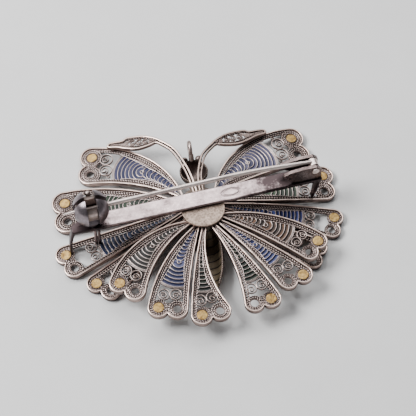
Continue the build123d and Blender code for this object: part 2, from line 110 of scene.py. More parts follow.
# ---------------------------------------------------------------- mesh building
class Pile:
    """Vertices, faces and a tone for each vertex (1 bright, 0 dark: rubbed crowns against tarnished
    recesses, and also painted light and shade) of one piece.
    """

    def __init__(self):
        self.verts, self.faces, self.tones, self.cells, self.count = [], [], [], [], 0

    def add(self, verts, faces, tones=1.0, cell=0.5):
        verts = np.asarray(verts, float)
        self.verts.append(verts)
        self.faces += [[k + self.count for k in face] for face in faces]
        self.tones.append(np.broadcast_to(np.asarray(tones, float), (len(verts),)))
        self.cells.append(np.full(len(verts), float(cell)))
        self.count += len(verts)

    def piece(self, name, material, slot, nodes, body="brooch", place=None, hand=1):
        verts = np.concatenate(self.verts)
        verts[:, 1] *= hand
        if place is not None:
            verts = place(verts)
        faces = self.faces if hand > 0 else [face[::-1] for face in self.faces]
        mesh = bpy.data.meshes.new(name)
        mesh.from_pydata(((verts - MIDDLE) * MM).tolist(), [], faces)
        tone = mesh.attributes.new("tone", "FLOAT", "POINT")
        tone.data.foreach_set("value", np.concatenate(self.tones).astype(np.float32))
        cell = mesh.attributes.new("cell", "FLOAT", "POINT")
        cell.data.foreach_set("value", np.concatenate(self.cells).astype(np.float32))
        mesh.polygons.foreach_set("use_smooth", np.ones(len(mesh.polygons), bool))
        mesh.materials.append(material)
        obj = bpy.data.objects.new(name, mesh)
        bpy.context.scene.collection.objects.link(obj)
        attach(obj, body)
        if nodes:
            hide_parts(*nodes)

    def petal_piece(self, petal, kind, material, slot):
        """The piece drawn in a petal's own frame, in place of the petal's node of that kind."""
        nodes = (f"petal_{petal.name}_{kind}",)
        self.piece(f"{kind}_{petal.name}", material, slot, nodes, place=petal.place, hand=petal.hand)


def lattice(rows, cols, close_rows=False, close_cols=False):
    """Quads of a grid of rows by cols vertices."""
    r = np.arange(rows if close_rows else rows - 1)
    c = np.arange(cols if close_cols else cols - 1)
    r, c = np.meshgrid(r, c, indexing="ij")
    r2, c2 = (r + 1) % rows, (c + 1) % cols
    quads = np.stack([r * cols + c, r * cols + c2, r2 * cols + c2, r2 * cols + c], -1)
    return quads.reshape(-1, 4).tolist()


def resample(points, step, closed=False):
    points = np.asarray(points, float)
    if closed:
        points = np.vstack([points, points[:1]])
    gaps = np.linalg.norm(np.diff(points, axis=0), axis=1)
    reach = np.concatenate([[0], np.cumsum(gaps)])
    count = max(3, int(round(reach[-1] / step)) + (0 if closed else 1))
    places = np.linspace(0, reach[-1], count + (1 if closed else 0))
    if closed:
        places = places[:-1]
    return np.stack([np.interp(places, reach, points[:, k]) for k in range(points.shape[1])], 1)


def with_z(points, z=0.0):
    points = np.asarray(points, float)
    return points if points.shape[1] == 3 else np.hstack([points, np.full((len(points), 1), z)])


def sweep(pile, points, section, closed=False, scale=None, tones=None, up=(0, 0, 1.0)):
    """Runs a section (offsets aside and up, one set or one per point) along points."""
    points = with_z(points)
    if closed:
        ahead = np.roll(points, -1, 0) - np.roll(points, 1, 0)
    else:
        ahead = np.gradient(points, axis=0)
    ahead /= np.linalg.norm(ahead, axis=1, keepdims=True)
    side = np.cross(np.broadcast_to(up, ahead.shape), ahead)
    side /= np.linalg.norm(side, axis=1, keepdims=True)
    lift = np.cross(ahead, side)
    section = np.broadcast_to(section, (len(points),) + np.shape(section)[-2:])
    if scale is not None:
        section = section * np.asarray(scale)[:, None, None]
    ring = points[:, None, :] + section[..., :1] * side[:, None, :] + section[..., 1:] * lift[:, None, :]
    rows, cols = ring.shape[:2]
    faces = lattice(rows, cols, closed, True)
    if not closed:
        faces += [list(range(cols))[::-1], list(range((rows - 1) * cols, rows * cols))]
    tones = np.full(section.shape[:2], 0.8) if tones is None else np.broadcast_to(tones, section.shape[:2])
    pile.add(ring.reshape(-1, 3), faces, tones.reshape(-1))


def oval(width, height, sides):
    turn = np.linspace(0, 2 * pi, sides, endpoint=False)
    return np.stack([width / 2 * np.cos(turn), height / 2 * np.sin(turn)], 1)


def ribbon(width, height, round_off=0.05):
    """Section of a flat wire on edge, its corners softened."""
    w, h, r = width / 2, height / 2, round_off
    return np.array([
        (w, -h + r), (w, 0), (w, h - r), (w - r, h), (0, h + 0.01), (r - w, h),
        (-w, h - r), (-w, 0), (-w, r - h), (r - w, -h), (0, -h - 0.01), (w - r, -h),
    ])


def wire(pile, points, width, height, step=0.12, closed=False, tone=0.85, sides=8):
    """Plain drawn wire: bright on its rubbed crown, darker down its flanks."""
    points = resample(points, step, closed)
    section = oval(width, height, sides)
    crown = np.abs(section[:, 1]) / (height / 2)
    sweep(pile, points, section, closed, tones=0.35 + (tone - 0.35) * crown**1.5)


def rope(pile, points, width=ROPE, height=ROPE_HEIGHT, pitch=ROPE_PITCH, hand=1, closed=False, tone=1.45):
    """Twisted pair rolled flat: its ridges cross it slantwise."""
    points = resample(points, pitch / 5.5, closed)
    if len(points) < 6:
        return
    gaps = np.linalg.norm(np.diff(points, axis=0), axis=1)
    reach = np.concatenate([[0], np.cumsum(gaps)])
    if closed:
        around = reach[-1] + np.linalg.norm(points[-1] - points[0])
        pitch = around / max(3, round(around / pitch))
    turn = np.linspace(0, 2 * pi, 10, endpoint=False)
    phase = 2 * turn[None, :] + hand * 2 * pi * reach[:, None] / pitch
    ridge = 0.5 + 0.5 * np.cos(phase)
    base = oval(width, height, 10)
    section = base[None] * (0.70 + 0.34 * ridge)[..., None]
    crown = np.abs(np.sin(turn))[None, :] ** 1.2
    sweep(pile, points, section, closed, tones=tone * (0.08 + 0.92 * ridge**1.5) * (0.40 + 0.60 * crown))


def circle(centre, radius, count=48, start=0.0, stop=2 * pi, endpoint=False):
    turn = np.linspace(start, stop, count, endpoint=endpoint)
    return np.stack([centre[0] + radius * np.cos(turn), centre[1] + radius * np.sin(turn)], 1)


def turned(pile, centre, profile, sides=24, tones=None, lumps=None):
    """Turned solid about Z: profile runs from its top to its bottom as (radius, height), apexes left out."""
    profile = np.asarray(profile, float)
    turn = np.linspace(0, 2 * pi, sides, endpoint=False)
    rows = len(profile)
    ring = np.stack([
        centre[0] + profile[:, :1] * np.cos(turn),
        centre[1] + profile[:, :1] * np.sin(turn),
        centre[2] + np.repeat(profile[:, 1:], sides, 1),
    ], -1).reshape(-1, 3)
    if lumps is not None:
        ring = ring + lumps(ring, profile, sides)
    top, foot = ring[:sides].mean(0), ring[-sides:].mean(0)
    verts = np.vstack([ring, top, foot])
    faces = [face[::-1] for face in lattice(rows, sides, False, True)]
    faces += [[rows * sides, k, (k + 1) % sides] for k in range(sides)]
    last = (rows - 1) * sides
    faces += [[rows * sides + 1, last + (k + 1) % sides, last + k] for k in range(sides)]
    tones = np.full(rows, 0.85) if tones is None else np.asarray(tones)
    pile.add(verts, faces, np.concatenate([np.repeat(tones, sides), tones[:1], tones[-1:]]))


def grain(pile, centre, radius, height, z=0.0, sides=14, tone=0.9, dice=None):
    """Small domed disc or ball, the same above and below; dice roughens it."""
    turn = np.linspace(0, pi, 9)[1:-1]
    profile = np.stack([radius * np.sin(turn), height * np.cos(turn)], 1)
    tones = tone * (0.45 + 0.55 * np.abs(np.cos(turn)))

    def lumps(ring, profile, sides):
        return dice.normal(size=ring.shape) * (0.035 * radius, 0.035 * radius, 0.09 * height)

    turned(pile, (centre[0], centre[1], z), profile, sides, tones, lumps if dice else None)


def rough(dice, count, size):
    """Smooth unevenness over a plane, as a function of x and y in millimetres."""
    waves = dice.normal(size=(count, 2)) * size
    phases = dice.uniform(0, 2 * pi, count)
    return lambda x, y: sum(np.sin(u * x + v * y + p) for (u, v), p in zip(waves, phases)) / sqrt(count)


# ---------------------------------------------------------------- petals
def arc(a, m, b, step=0.06):
    """Points of the circular arc from a through m to b."""
    (ax, ay), (mx, my), (bx, by) = a, m, b
    d = 2 * (ax * (my - by) + mx * (by - ay) + bx * (ay - my))
    aa, mm, bb = ax * ax + ay * ay, mx * mx + my * my, bx * bx + by * by
    ux = (aa * (my - by) + mm * (by - ay) + bb * (ay - my)) / d
    uy = (aa * (bx - mx) + mm * (ax - bx) + bb * (mx - ax)) / d
    radius = hypot(ax - ux, ay - uy)
    start = atan2(ay - uy, ax - ux)
    through = (atan2(my - uy, mx - ux) - start) % (2 * pi)
    stop = (atan2(by - uy, bx - ux) - start) % (2 * pi)
    if through > stop:
        stop -= 2 * pi
    count = max(3, int(abs(stop) * radius / step))
    turn = start + np.linspace(0, stop, count)
    return np.stack([ux + radius * np.cos(turn), uy + radius * np.sin(turn)], 1)


def side_arc(root, lobe, lobe_radius, swell):
    leave = atan2(lobe[1] + lobe_radius - root[1], lobe[0] - root[0])
    for _ in range(8):
        end = (lobe[0] - lobe_radius * sin(leave), lobe[1] + lobe_radius * cos(leave))
        slope = atan2(end[1] - root[1], end[0] - root[0])
        leave = slope - radians(swell)
    rise = hypot(end[0] - root[0], end[1] - root[1]) / 2 * tan(radians(swell) / 2)
    middle = ((root[0] + end[0]) / 2 - rise * sin(slope), (root[1] + end[1]) / 2 + rise * cos(slope))
    return root, middle, end


class Petal:
    """Flat shape of one petal: root at (0, shift), notch at (reach, 0), gold lobe on the +Y side."""

    def __init__(self, name, row, hand):
        root, notch, skew, self.width, gold_swell, plain_swell = row
        self.name, self.hand = name, hand
        chord = hypot(notch[0] - root[0], notch[1] - root[1])
        self.reach, self.shift = chord * cos(radians(skew)), -chord * sin(radians(skew))
        bearing = atan2(notch[1] - root[1], notch[0] - root[0]) - hand * radians(skew)
        self.radius = self.width * LOBE_SHARE
        self.across = self.width / 2 - self.radius
        self.along = self.reach - sqrt(self.radius**2 - self.across**2)
        if name.startswith("front"):
            height = FRONT_ROOT_Z
            fall = asin((FRONT_ROOT_Z - RIM_HEIGHT / 2) / (self.along + self.radius))
        else:
            height = BACK_ROOT_Z
            fall = asin((BACK_ROOT_Z - BACK_TIP_Z) / self.reach)
        cb, sb, cf, sf = cos(bearing), sin(bearing), cos(fall), sin(fall)
        self.axes = np.array([(cb * cf, sb * cf, -sf), (-sb, cb, 0), (cb * sf, sb * sf, cf)])
        aside = hand * self.shift
        self.origin = np.array((root[0] + aside * sb, root[1] - aside * cb, height))
        self.outline = self.draw(gold_swell, plain_swell)
        self.middle = CELL_SHARE * self.reach
        self.arch = (ARCH_SHARE - CELL_SHARE) * self.reach

    def draw(self, gold_swell, plain_swell):
        lobe = (self.along, self.across)
        gold = side_arc((0, ROOT_HALF + self.shift), lobe, self.radius, gold_swell)
        plain = side_arc((0, ROOT_HALF - self.shift), lobe, self.radius, plain_swell)
        plain = [(x, -y) for x, y in plain]
        half_x, half_y = (gold[1][0] + plain[1][0]) / 2, (gold[1][1] + plain[1][1]) / 2
        self.bow = half_y - self.shift * (1 - half_x / self.reach) ** 2
        cap = (lobe[0] + self.radius * cos(radians(20)), lobe[1] + self.radius * sin(radians(20)))
        tip = (self.reach, 0)
        parts = [
            arc(*gold)[:-1],
            arc(gold[2], cap, tip)[:-1],
            arc(tip, (cap[0], -cap[1]), plain[2])[:-1],
            arc(plain[2], plain[1], plain[0]),
            np.linspace(plain[0], gold[0], 12)[1:-1],
        ]
        return resample(np.concatenate(parts)[::-1], 0.07, True)

    def place(self, verts):
        return self.origin + verts @ self.axes

    def depth(self, points):
        """How far inside the outline each point lies; negative outside."""
        points = np.atleast_2d(points)
        a, b = self.outline, np.roll(self.outline, -1, 0)
        far = np.sqrt(((points[:, None] - a[None]) ** 2).sum(-1)).min(1)
        y = points[:, 1:2]
        spans = (a[None, :, 1] > y) != (b[None, :, 1] > y)
        rise = np.where(b[:, 1] == a[:, 1], 1e-9, b[:, 1] - a[:, 1])
        at = a[:, 0] + (y - a[:, 1]) * (b[:, 0] - a[:, 0]) / rise
        inside = (spans & (points[:, :1] < at)).sum(1) % 2 == 1
        return np.where(inside, far, -far)

    def spine(self, x):
        """Middle line, from the root at (0, shift) to the notch."""
        share = x / self.reach
        return self.shift * (1 - share) ** 2 + 4 * self.bow * share * (1 - share)

    def edge(self, x):
        """Width of the rim and the twisted wires beside the window, widest midway along it."""
        share = np.clip(np.asarray(x, float) / (0.76 * self.reach), 0, 1)
        band = RIM_WALL + ROPE * (1.10 + 2.2 * self.width / 7 * np.sin(pi * share**0.85))
        middle = np.stack([np.atleast_1d(x), np.atleast_1d(self.spine(np.asarray(x, float)))], 1)
        return np.minimum(band, 0.12 + 0.60 * np.maximum(self.depth(middle), 0.3))

    def span(self, centre, radius, slack=0.0, limit=105):
        """First and last bearing at which an arc round centre lies in the window."""
        turn = np.radians(np.arange(-limit, limit + 1, 1.5))
        points = np.stack([centre[0] + radius * np.cos(turn), centre[1] + radius * np.sin(turn)], 1)
        good = self.depth(points) > self.edge(points[:, 0]) - slack
        if not good.any():
            return None
        found = np.flatnonzero(good)
        low = high = found[np.argmin(np.abs(found - len(turn) // 2))]
        while low > 0 and good[low - 1]:
            low -= 1
        while high < len(turn) - 1 and good[high + 1]:
            high += 1
        return turn[low], turn[high]


def rim_piece(petal, dice):
    pile = Pile()
    ahead = np.roll(petal.outline, -1, 0) - np.roll(petal.outline, 1, 0)
    ahead /= np.linalg.norm(ahead, axis=1, keepdims=True)
    middle = petal.outline + RIM_WALL / 2 * np.stack([-ahead[:, 1], ahead[:, 0]], 1)
    wave = np.linspace(0, 2 * pi, len(middle), endpoint=False)
    drift = sum(dice.normal() * np.sin(k * wave + dice.uniform(0, 6)) for k in (3, 5, 9, 14))
    section = np.broadcast_to(ribbon(RIM_WALL, RIM_HEIGHT), (len(middle), 12, 2)).copy()
    section[:, 2:7, 1] -= 0.012 * np.abs(drift)[:, None]
    # Painted light and shade as well as wear: the rim's top is toned brightest and its flanks darker.
    crown = np.array([0.35, 0.5, 0.75, 1, 1, 1, 0.55, 0.3, 0.4, 0.8, 0.8, 0.6])
    sweep(pile, middle, section, True, tones=crown[None, :] * (0.93 + 0.02 * drift[:, None]))
    pile.petal_piece(petal, "rim", SILVER_EDGE, "silver_edge_wire")


def cell_plan(petal):
    """Radii of the fish-scale arcs round the cell centre, and the centres of the chain cells."""
    radius = 0.36
    count = max(3, round((petal.arch - radius) / 0.64))
    radii = list(np.linspace(radius, petal.arch, count + 1))
    chain, place = [], petal.middle - 0.36
    while place > 1.6:
        chain.append(place)
        place -= 0.46 + 0.030 * place
    return radii, chain


def kept_runs(points, keep):
    """The unbroken stretches of points where keep is true, going round past the first point."""
    if keep.all():
        return [points]
    start = int(np.argmin(keep))
    points, keep = np.roll(points, -start, 0), np.roll(keep, -start)
    ends = np.flatnonzero(np.diff(np.concatenate([[0], keep.astype(int), [0]])))
    return [points[a:b] for a, b in zip(ends[::2], ends[1::2]) if b - a > 8]


def band_ropes(pile, petal):
    """Twisted wires side by side inside the rim: two all round, more where the window leaves room."""
    ahead = np.roll(petal.outline, -1, 0) - np.roll(petal.outline, 1, 0)
    ahead /= np.linalg.norm(ahead, axis=1, keepdims=True)
    inward = np.stack([-ahead[:, 1], ahead[:, 0]], 1)
    room = petal.edge(petal.outline[:, 0])
    beyond = petal.outline[:, 0] > petal.middle + 0.8 * petal.arch
    for row in range(5):
        amount = RIM_WALL + (row + 0.5) * ROPE
        points = petal.outline + amount * inward
        keep = petal.depth(points) > amount - 0.03
        keep &= (amount + 0.25 * ROPE < room) | (beyond & (row < 2))
        for run in kept_runs(points, keep):
            rope(pile, run, hand=1 if row % 2 else -1, closed=len(run) == len(points))
    points = petal.outline + room[:, None] * inward
    keep = (petal.depth(points) > room - 0.04) & ~beyond
    for run in kept_runs(points, keep):
        wire(pile, run, 0.12, 0.44, tone=CROWN)


def window_wires(pile, petal):
    """Wires over the enamel: nested arcs, and the chain of small scales that leads to the root."""
    centre = (petal.middle, petal.spine(petal.middle))
    radii, chain = cell_plan(petal)
    wire(pile, circle(centre, 0.30, 24), 0.13, 0.42, 0.07, True, tone=CROWN)
    for radius in radii[1:]:
        span = petal.span(centre, radius, 0.04)
        if span:
            wire(pile, circle(centre, radius, 40, *span, endpoint=True), 0.14, 0.42, tone=CROWN)
    for place in chain:
        room = petal.depth((place, petal.spine(place)))[0] - petal.edge(place)[0]
        half = max(0.24, 1.05 * room)
        small = (place - 0.75 * half, petal.spine(place))
        span = petal.span(small, half, 0.12, 80)
        if span:
            wire(pile, circle(small, half, 16, *span, endpoint=True), 0.12, 0.42, tone=CROWN)


def gate_wires(pile, petal):
    """Pair of wires that closes the window towards the scrolls."""
    centre = (petal.middle, petal.spine(petal.middle))
    for step, width in ((0.13, 0.11), (0.27, 0.11)):
        span = petal.span(centre, petal.arch + step)
        if span:
            wire(pile, circle(centre, petal.arch + step, 48, *span, endpoint=True), width, 0.46, tone=CROWN)


def spiral(centre, radius, turns, start, hand, inner=0.3):
    turn = np.linspace(0, 2 * pi * turns, int(34 * turns))
    size = radius * (1 - (1 - inner) * (turn / turn[-1]) ** 0.9)
    angle = start + hand * turn
    return np.stack([centre[0] + size * np.cos(angle), centre[1] + size * np.sin(angle)], 1)


def scroll_wires(pile, petal, dice):
    """Open scrolls between the window and the lobes, with the rings that tie them together."""
    start = petal.middle + petal.arch + 0.40
    room = (petal.along - petal.radius * 0.35 - start) / 2
    size = min(0.138 * petal.width, room + 0.30)
    x = start + size
    for side in (1, -1):
        lean = dice.uniform(-0.12, 0.12)
        centre = (x + lean, petal.spine(x) + side * size * 1.05)
        wire(pile, circle(centre, size, 40), 0.18, 0.48, 0.1, True, tone=1.25)
        inner = (centre[0] + 0.22 * size, centre[1] + side * 0.05)
        wire(pile, spiral(inner, 0.66 * size, 1.25, side * 1.9 + lean * 4, side), 0.15, 0.44, 0.07, tone=1.2)
        outer = (centre[0] - 0.55 * size, centre[1] + side * 1.25 * size)
        if petal.depth(np.array([outer]))[0] > RIM_WALL + 2 * ROPE + 0.22:
            wire(pile, circle(outer, 0.24, 20), 0.12, 0.42, 0.07, True, tone=0.9)
    tie = petal.along - 0.30 * petal.radius
    if tie - x > size * 0.6:
        wire(pile, circle((tie, petal.spine(tie)), 0.32, 20), 0.12, 0.42, 0.07, True, tone=0.9)
        grain(pile, (tie, petal.spine(tie)), 0.14, 0.20, sides=10)


def rosettes(pile, petal):
    """Wound rings in both lobes: round a gilt disc in one, round an open eyelet in the other."""
    for side, hole in ((1, GILT_RADIUS + 0.06), (-1, EYELET_RADIUS)):
        centre = (petal.along, side * petal.across)
        room = petal.radius - RIM_WALL - hole - 0.10
        rows = max(2, round(room / 0.32))
        for row in range(rows):
            size = hole + 0.10 + room * (row + 0.5) / rows
            rope(pile, circle(centre, size, 90), room / rows, 0.46, 0.36, 1 if row % 2 else -1, True)
        wire(pile, circle(centre, hole + 0.05, 40), 0.12, 0.50, 0.1, True, tone=0.8)


def gilt_button(pile, petal, dice):
    """Flat grainy gold disc in the outer lobe, its edge a little ragged."""
    size = GILT_RADIUS
    radii = np.concatenate([np.linspace(0.06, size - 0.07, 12), [size - 0.02, size]])
    upper = np.stack([radii, np.concatenate([np.full(12, 0.27), [0.24, 0.14]])], 1)
    low, fine = rough(dice, 7, 2.2), rough(dice, 16, 9.0)

    def lumps(ring, profile, sides):
        x, y = (ring[:, :2] - (petal.along, petal.across)).T
        turn, far = np.arctan2(y, x), np.hypot(x, y) / size
        ragged = far**3 * (0.020 * np.sin(5 * turn + petal.reach) + 0.014 * np.sin(11 * turn))
        lift = np.sign(ring[:, 2]) * (0.022 * low(x, y) + 0.016 * fine(x, y))
        return np.stack([x * ragged, y * ragged, lift], 1)

    tones = np.concatenate([np.full(12, 0.80), [0.95, 0.5]])
    profile = np.concatenate([upper, upper[::-1] * (1, -1)])
    turned(pile, (petal.along, petal.across, 0.0), profile, 44, np.concatenate([tones, tones[::-1]]), lumps)


def lace_piece(petal, dice):
    pile = Pile()
    band_ropes(pile, petal)
    window_wires(pile, petal)
    gate_wires(pile, petal)
    scroll_wires(pile, petal, dice)
    rosettes(pile, petal)
    pile.petal_piece(petal, "lace", FILIGREE, "silver_filigree")


def enamel_piece(petal, dice):
    """Enamel in each cell, dished between the wires, with a back face."""
    pile = Pile()
    centre = (petal.middle, petal.spine(petal.middle))
    radii, chain = cell_plan(petal)

    def panel(spans, marks, cell):
        """Closed sheet, thick at the wires and thin between them."""
        dish = 0.12 - 0.09 * 4 * marks * (1 - marks)
        flat = np.stack(spans)
        upper = np.concatenate([flat, np.broadcast_to(dish[:, None, None], flat.shape[:2] + (1,))], 2)
        lower = upper[::-1] * (1, 1, -1)
        loop = np.concatenate([upper, lower]).transpose(1, 0, 2)
        across, around = loop.shape[:2]
        faces = lattice(across, around, False, True)
        faces += [list(range(around))[::-1], list(range((across - 1) * around, across * around))]
        tones = np.tile(np.concatenate([marks, marks[::-1]]), across)
        pile.add(loop.reshape(-1, 3), faces, tones, cell)

    marks = np.linspace(0, 1, 7)
    span = (-0.1, 0.1)
    for inner, outer in zip([0.02, *radii[1:-1]], radii[1:]):
        spans = []
        for mark in marks:
            radius = inner + (outer - inner) * mark
            span = petal.span(centre, max(radius, 0.05), 0.14) or span
            spans.append(circle(centre, radius, 22, *span, endpoint=True))
        panel(spans, marks, dice.uniform())
    stops = [petal.middle + 0.1, *chain[1:], 1.0]
    for near, far in zip(stops, stops[1:]):
        spans = []
        for mark in marks:
            x = far + (near - far) * mark
            ys = petal.spine(x) + np.linspace(-petal.width, petal.width, 161)
            inside = petal.depth(np.stack([np.full(161, x), ys], 1)) > petal.edge(x) - 0.14
            ys = ys[inside] if inside.sum() > 1 else np.array([petal.spine(x) - 0.05, petal.spine(x) + 0.05])
            spans.append(np.stack([np.full(12, x), np.linspace(ys[0], ys[-1], 12)], 1))
        panel(spans, marks, dice.uniform())
    slot = f"enamel_{petal.name}"
    pile.petal_piece(petal, "enamel", enamel(slot, *ENAMEL[petal.name]), slot)


# ---------------------------------------------------------------- materials
def nodes_of(name):
    material = bpy.data.materials.new(name)
    material.use_nodes = True
    tree = material.node_tree
    shader = tree.nodes["Principled BSDF"]
    return material, tree, shader


def link(tree, a, b):
    tree.links.new(a, b)


def noise(tree, scale, detail=4.0, rough=0.6, stretch=None):
    """Noise over the piece, at so many features per metre."""
    coord = tree.nodes.new("ShaderNodeTexCoord")
    node = tree.nodes.new("ShaderNodeTexNoise")
    node.inputs["Scale"].default_value = scale
    node.inputs["Detail"].default_value = detail
    node.inputs["Roughness"].default_value = rough
    if stretch:
        mapping = tree.nodes.new("ShaderNodeMapping")
        mapping.inputs["Scale"].default_value = stretch
        mapping.inputs["Rotation"].default_value = (0, 0, radians(-BAR_YAW))
        link(tree, coord.outputs["Object"], mapping.inputs["Vector"])
        link(tree, mapping.outputs["Vector"], node.inputs["Vector"])
    else:
        link(tree, coord.outputs["Object"], node.inputs["Vector"])
    return node.outputs["Fac"]


def ramp(tree, source, *stops):
    node = tree.nodes.new("ShaderNodeValToRGB")
    while len(node.color_ramp.elements) < len(stops):
        node.color_ramp.elements.new(0.5)
    for element, (place, colour) in zip(node.color_ramp.elements, stops):
        element.position = place
        element.color = (*colour, 1) if not np.isscalar(colour) else (colour, colour, colour, 1)
    link(tree, source, node.inputs["Fac"])
    return node.outputs["Color"]


def mix(tree, factor, a, b, mode="MIX"):
    node = tree.nodes.new("ShaderNodeMix")
    node.data_type = "RGBA"
    node.blend_type = mode
    for value, key in ((factor, 0), (a, 6), (b, 7)):
        if isinstance(value, bpy.types.NodeSocket):
            link(tree, value, node.inputs[key])
        elif key == 0:
            node.inputs[key].default_value = value
        else:
            node.inputs[key].default_value = (*value, 1)
    return node.outputs[2]


def maths(tree, how, a, b):
    node = tree.nodes.new("ShaderNodeMath")
    node.operation = how
    for value, key in ((a, 0), (b, 1)):
        if isinstance(value, bpy.types.NodeSocket):
            link(tree, value, node.inputs[key])
        else:
            node.inputs[key].default_value = value
    return node.outputs[0]


def swing(tree, source, amount):
    """A value about 0.5, brought about zero and scaled."""
    return maths(tree, "MULTIPLY", maths(tree, "SUBTRACT", source, 0.5), amount)


def attribute(tree, name):
    node = tree.nodes.new("ShaderNodeAttribute")
    node.attribute_name = name
    return node.outputs["Fac"]


def bump(tree, shader, height, strength, distance):
    node = tree.nodes.new("ShaderNodeBump")
    node.inputs["Strength"].default_value = strength
    node.inputs["Distance"].default_value = distance
    link(tree, height, node.inputs["Height"])
    link(tree, node.outputs["Normal"], shader.inputs["Normal"])


def toned_metal(
    name, crown, bright, worn, tarnish, rough=(0.22, 0.5), grain=2600.0, mottle=0.35, metallic=1.0,
):
    """Metal lighter on its crowns and darker in its recesses: rubbed silver and tarnish, and also painted
    light and shade.
    """
    material, tree, shader = nodes_of(name)
    cloud = noise(tree, grain / 9, 3.0, 0.65)
    fine = noise(tree, grain, 4.0, 0.7)
    level = maths(tree, "ADD", attribute(tree, "tone"), swing(tree, cloud, 0.9))
    level = maths(tree, "ADD", level, swing(tree, fine, mottle))
    # Tarnish and painted shade: ambient occlusion darkens the hollows.
    hollow = tree.nodes.new("ShaderNodeAmbientOcclusion")
    hollow.inputs["Distance"].default_value = 0.0006
    hollow.samples = 4
    tarnish_and_shade = maths(tree, "SUBTRACT", 1.0, hollow.outputs["AO"])
    level = maths(tree, "SUBTRACT", level, maths(tree, "MULTIPLY", tarnish_and_shade, 0.75))
    level = maths(tree, "MULTIPLY", level, 0.6)
    colour = ramp(tree, level, (0.06, tarnish), (0.27, worn), (0.55, bright), (0.85, crown))
    link(tree, colour, shader.inputs["Base Color"])
    link(tree, ramp(tree, level, (0.09, rough[1]), (0.57, rough[0])), shader.inputs["Roughness"])
    shader.inputs["Metallic"].default_value = metallic
    bump(tree, shader, fine, 0.25, 0.00004)
    return material


def sheet_metal(
    name, bright, worn, tarnish, rough=(0.25, 0.5), spread=(0.42, 0.60), grain=0.3, streaks=0.5, pit=0.00005,
    toned=False, metallic=1.0,
):
    """Sheet or cast metal: cloudy tarnish, fine scratches, grime and painted shade in its corners, and, if
    toned, painted shade by tone.
    """
    material, tree, shader = nodes_of(name)
    cloud = noise(tree, 330.0, 4.0, 0.6)
    fine = noise(tree, 3000.0, 5.0, 0.7)
    streak = noise(tree, 1500.0, 3.0, 0.6, stretch=(0.10, 1.0, 1.0))
    hollow = tree.nodes.new("ShaderNodeAmbientOcclusion")
    hollow.inputs["Distance"].default_value = 0.0011
    hollow.samples = 6
    level = maths(
        tree, "ADD", maths(tree, "MULTIPLY", cloud, 1 - grain), maths(tree, "MULTIPLY", fine, grain)
    )
    # Painted shade: where the tone is low the colour is darkened.
    if toned:
        tone_shade = maths(tree, "SUBTRACT", 1.0, attribute(tree, "tone"))
        level = maths(tree, "SUBTRACT", level, maths(tree, "MULTIPLY", tone_shade, 0.30))
    colour = ramp(tree, level, (spread[0] - 0.14, tarnish), (spread[0], worn), (spread[1], bright))
    # Grime and painted shade: ambient occlusion darkens corners and hollows.
    dirt_and_shade = ramp(tree, hollow.outputs["AO"], (0.25, tarnish), (0.75, (1, 1, 1)))
    link(tree, mix(tree, 0.85, colour, dirt_and_shade, "MULTIPLY"), shader.inputs["Base Color"])
    rubbed = mix(tree, streaks, fine, streak)
    link(tree, ramp(tree, rubbed, (0.35, rough[1]), (0.65, rough[0])), shader.inputs["Roughness"])
    shader.inputs["Metallic"].default_value = metallic
    bump(tree, shader, mix(tree, streaks, fine, streak), 0.5, pit)
    return material


def enamel(name, deep, light):
    """Glossy enamel, lighter against the tipward wire of each cell."""
    material, tree, shader = nodes_of(name)
    cloud = noise(tree, 900.0, 3.0, 0.6)
    across = maths(tree, "ADD", attribute(tree, "tone"), swing(tree, cloud, 0.8))
    level = maths(tree, "ADD", across, swing(tree, attribute(tree, "cell"), 0.5))
    halfway = tuple(0.72 * a + 0.28 * b for a, b in zip(deep, light))
    colour = ramp(tree, level, (0.20, deep), (0.62, halfway), (1.05, light))
    link(tree, colour, shader.inputs["Base Color"])
    link(
        tree, ramp(tree, noise(tree, 5200.0, 3.0, 0.6), (0.35, 0.30), (0.7, 0.48)),
        shader.inputs["Roughness"],
    )
    shader.inputs["Specular IOR Level"].default_value = 0.22
    shader.inputs["Coat Weight"].default_value = 0.10
    shader.inputs["Coat Roughness"].default_value = 0.16
    bump(tree, shader, cloud, 0.35, 0.00006)
    return material


SILVER_EDGE = toned_metal(
    "silver_edge_wire", (0.80, 0.64, 0.57), (0.70, 0.545, 0.48), (0.34, 0.25, 0.22), (0.05, 0.034, 0.032),
    (0.28, 0.5),
)
# Painted shade: a darker copy of the edge silver, worn by the right antenna.
EDGE_SHADED = toned_metal(
    "silver_edge_shaded", (0.50, 0.38, 0.33), (0.42, 0.32, 0.28), (0.20, 0.15, 0.13), (0.04, 0.028, 0.026),
    (0.34, 0.55),
)
FILIGREE = toned_metal(
    "silver_filigree", (0.78, 0.67, 0.64), (0.46, 0.355, 0.32), (0.15, 0.11, 0.10), (0.010, 0.007, 0.008),
    (0.36, 0.6), metallic=0.8,
)
GILT = toned_metal(
    "gilt", (0.62, 0.45, 0.20), (0.50, 0.33, 0.115), (0.30, 0.18, 0.06), (0.07, 0.04, 0.02),
    (0.50, 0.72), 1700.0, 2.2, 0.7,
)
DARK_SILVER = toned_metal(
    "dark_silver", (0.24, 0.18, 0.15), (0.19, 0.145, 0.125), (0.075, 0.056, 0.048), (0.014, 0.010, 0.009),
    (0.40, 0.6), metallic=0.7,
)
# Painted shade: this metal is toned, so the strip's tone darkens it.
BAR_METAL = sheet_metal(
    "bar_metal", (0.68, 0.55, 0.545), (0.38, 0.30, 0.30), (0.06, 0.044, 0.046),
    (0.24, 0.46), (0.42, 0.62), toned=True,
)
